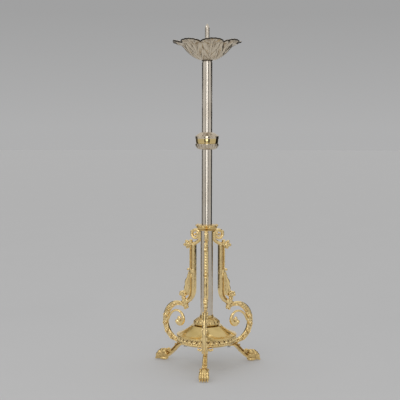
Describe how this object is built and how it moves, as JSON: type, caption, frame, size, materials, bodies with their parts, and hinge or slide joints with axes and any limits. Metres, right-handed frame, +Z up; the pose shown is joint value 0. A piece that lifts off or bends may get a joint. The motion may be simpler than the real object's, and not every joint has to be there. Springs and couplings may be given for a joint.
{
  "type": "paschal candlestick",
  "caption": "Tall floor candlestick: cast scroll tripod on lion paws, polished two-part column with a knop, and a petalled drip pan around a spike for a large candle.",
  "frame": {"origin": "on the column's axis at floor level, between the three paws", "axes": "+Z up the column; one foot points to -Y, the other two are 120 degrees round from it"},
  "size_m": [0.3774, 0.3282, 1.15],
  "materials": {
    "nickel_polished": "polished nickel plate",
    "nickel_cast": "nickel-plated casting, bright ridges and toned recesses",
    "brass_polished": "polished and lacquered",
    "brass_cast": "gilt cast brass with toned recesses",
    "steel": "turned steel, inside the column and under the base"
  },
  "bodies": {
    "lower_stand": {"knop_band": "brass_polished", "knop_lower_cup": "nickel_cast", "knop_socket": "steel", "middle_tube": "nickel_polished", "top_collar": "brass_cast", "column_coupling": "steel", "base_tube": "nickel_polished", "tie_rod": "steel", "tie_rod_washer": "steel", "tie_rod_nut": "steel", "dome_neck_ring": "brass_polished", "dome_knob": "brass_cast", "base_dome": "brass_polished", "base_gallery": "brass_cast", "base_plate": "brass_polished", "scroll_bracket_1": "brass_cast", "scroll_bracket_2": "brass_cast", "scroll_bracket_3": "brass_cast", "paw_foot_1": "brass_cast", "paw_foot_2": "brass_cast", "paw_foot_3": "brass_cast", "bracket_screw_1": "brass_polished", "bracket_screw_2": "brass_polished", "bracket_screw_3": "brass_polished", "foot_screw_1": "steel", "foot_screw_2": "steel", "foot_screw_3": "steel"},
    "upper_column": {"pricket": "nickel_polished", "pan_seat": "nickel_polished", "upper_tube": "nickel_polished", "knop_spigot": "steel", "knop_upper_cup": "nickel_cast"},
    "drip_pan": {"drip_pan": "nickel_cast"}
  },
  "joints": [
    {"name": "upper_column_lift", "type": "slide", "parent": "lower_stand", "child": "upper_column", "axis": [0, 0, 1], "range_m": [0, 0.085]},
    {"name": "drip_pan_lift", "type": "slide", "parent": "upper_column", "child": "drip_pan", "axis": [0, 0, 1], "range_m": [0, 0.122]}
  ]
}
